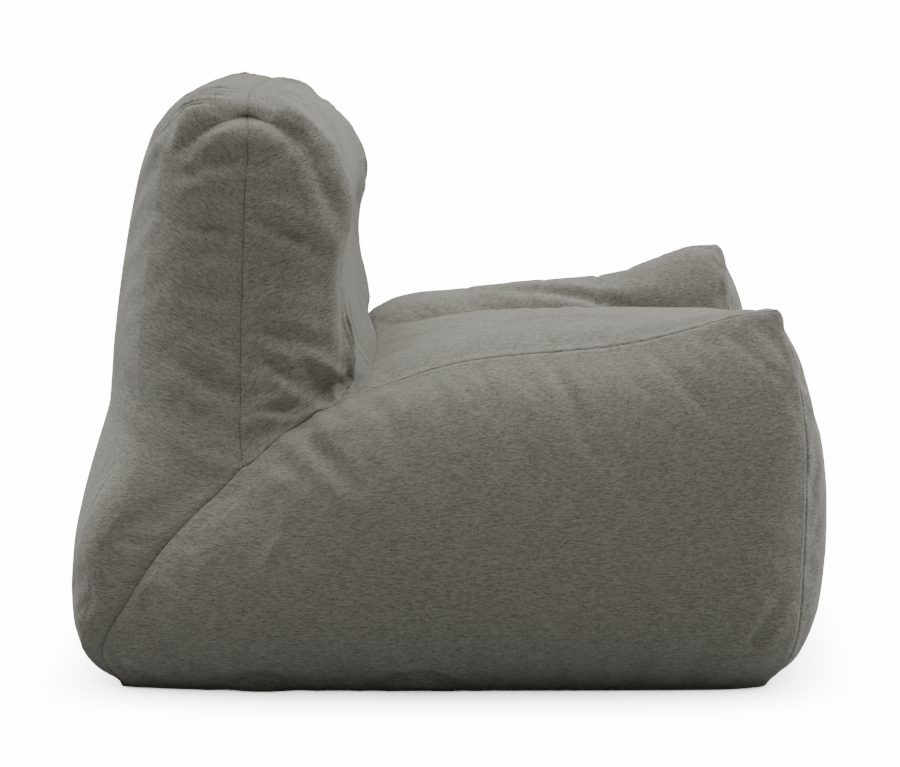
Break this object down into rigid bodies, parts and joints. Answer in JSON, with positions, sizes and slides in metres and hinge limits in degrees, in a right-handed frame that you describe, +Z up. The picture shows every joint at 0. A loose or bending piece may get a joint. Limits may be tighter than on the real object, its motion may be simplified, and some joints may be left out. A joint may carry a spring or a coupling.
{
  "type": "bean bag chair",
  "caption": "Sewn bean bag chair with a broad seat bag, two low arms and a raised bead-filled backrest, closed by a zip across the lower back.",
  "frame": {"origin": "on the floor under the middle of the chair's overall box", "axes": "+Z up, -Y the way the sitter faces, +X towards the sitter's left, across the chair"},
  "size_m": [0.9612, 0.992, 0.758],
  "materials": {
    "cover_cloth": "matt plain weave with a mixed grey-taupe yarn",
    "liner_cloth": "matt spun polypropylene cloth",
    "beads": "expanded polystyrene beads",
    "zip_tape": "matt woven tape",
    "zip_coil": "smooth nylon coil",
    "zip_metal": "satin grey enamel on cast zinc"
  },
  "bodies": {
    "chair": {"base_panel": "cover_cloth", "front_panel": "cover_cloth", "side_panel_right": "cover_cloth", "side_panel_left": "cover_cloth", "arm_top_panel_right": "cover_cloth", "seat_panel": "cover_cloth", "arm_top_panel_left": "cover_cloth", "backrest_front_panel": "cover_cloth", "back_panel": "cover_cloth", "divider_panel": "cover_cloth", "seat_liner": "liner_cloth", "seat_fill": "beads", "backrest_liner": "liner_cloth", "backrest_fill": "beads", "zip_tape_upper": "zip_tape", "zip_tape_lower": "zip_tape", "zip_coil_upper": "zip_coil", "zip_coil_lower": "zip_coil", "zip_shut_stop": "zip_metal", "zip_open_stop": "zip_metal"},
    "zip_slider": {"zip_slider": "zip_metal"},
    "zip_pull": {"zip_pull": "zip_metal"}
  },
  "joints": [
    {"name": "zip_slide", "type": "slide", "parent": "chair", "child": "zip_slider", "axis": [-1, 0, 0], "range_m": [0, 0.626], "deforming": ["zip_coil_upper", "zip_coil_lower"]},
    {"name": "pull_swing", "type": "hinge", "parent": "zip_slider", "child": "zip_pull", "pos_m": [0.313, 0.4936, 0.11], "axis": [0, 0, -1], "range_deg": [0, 175]}
  ]
}
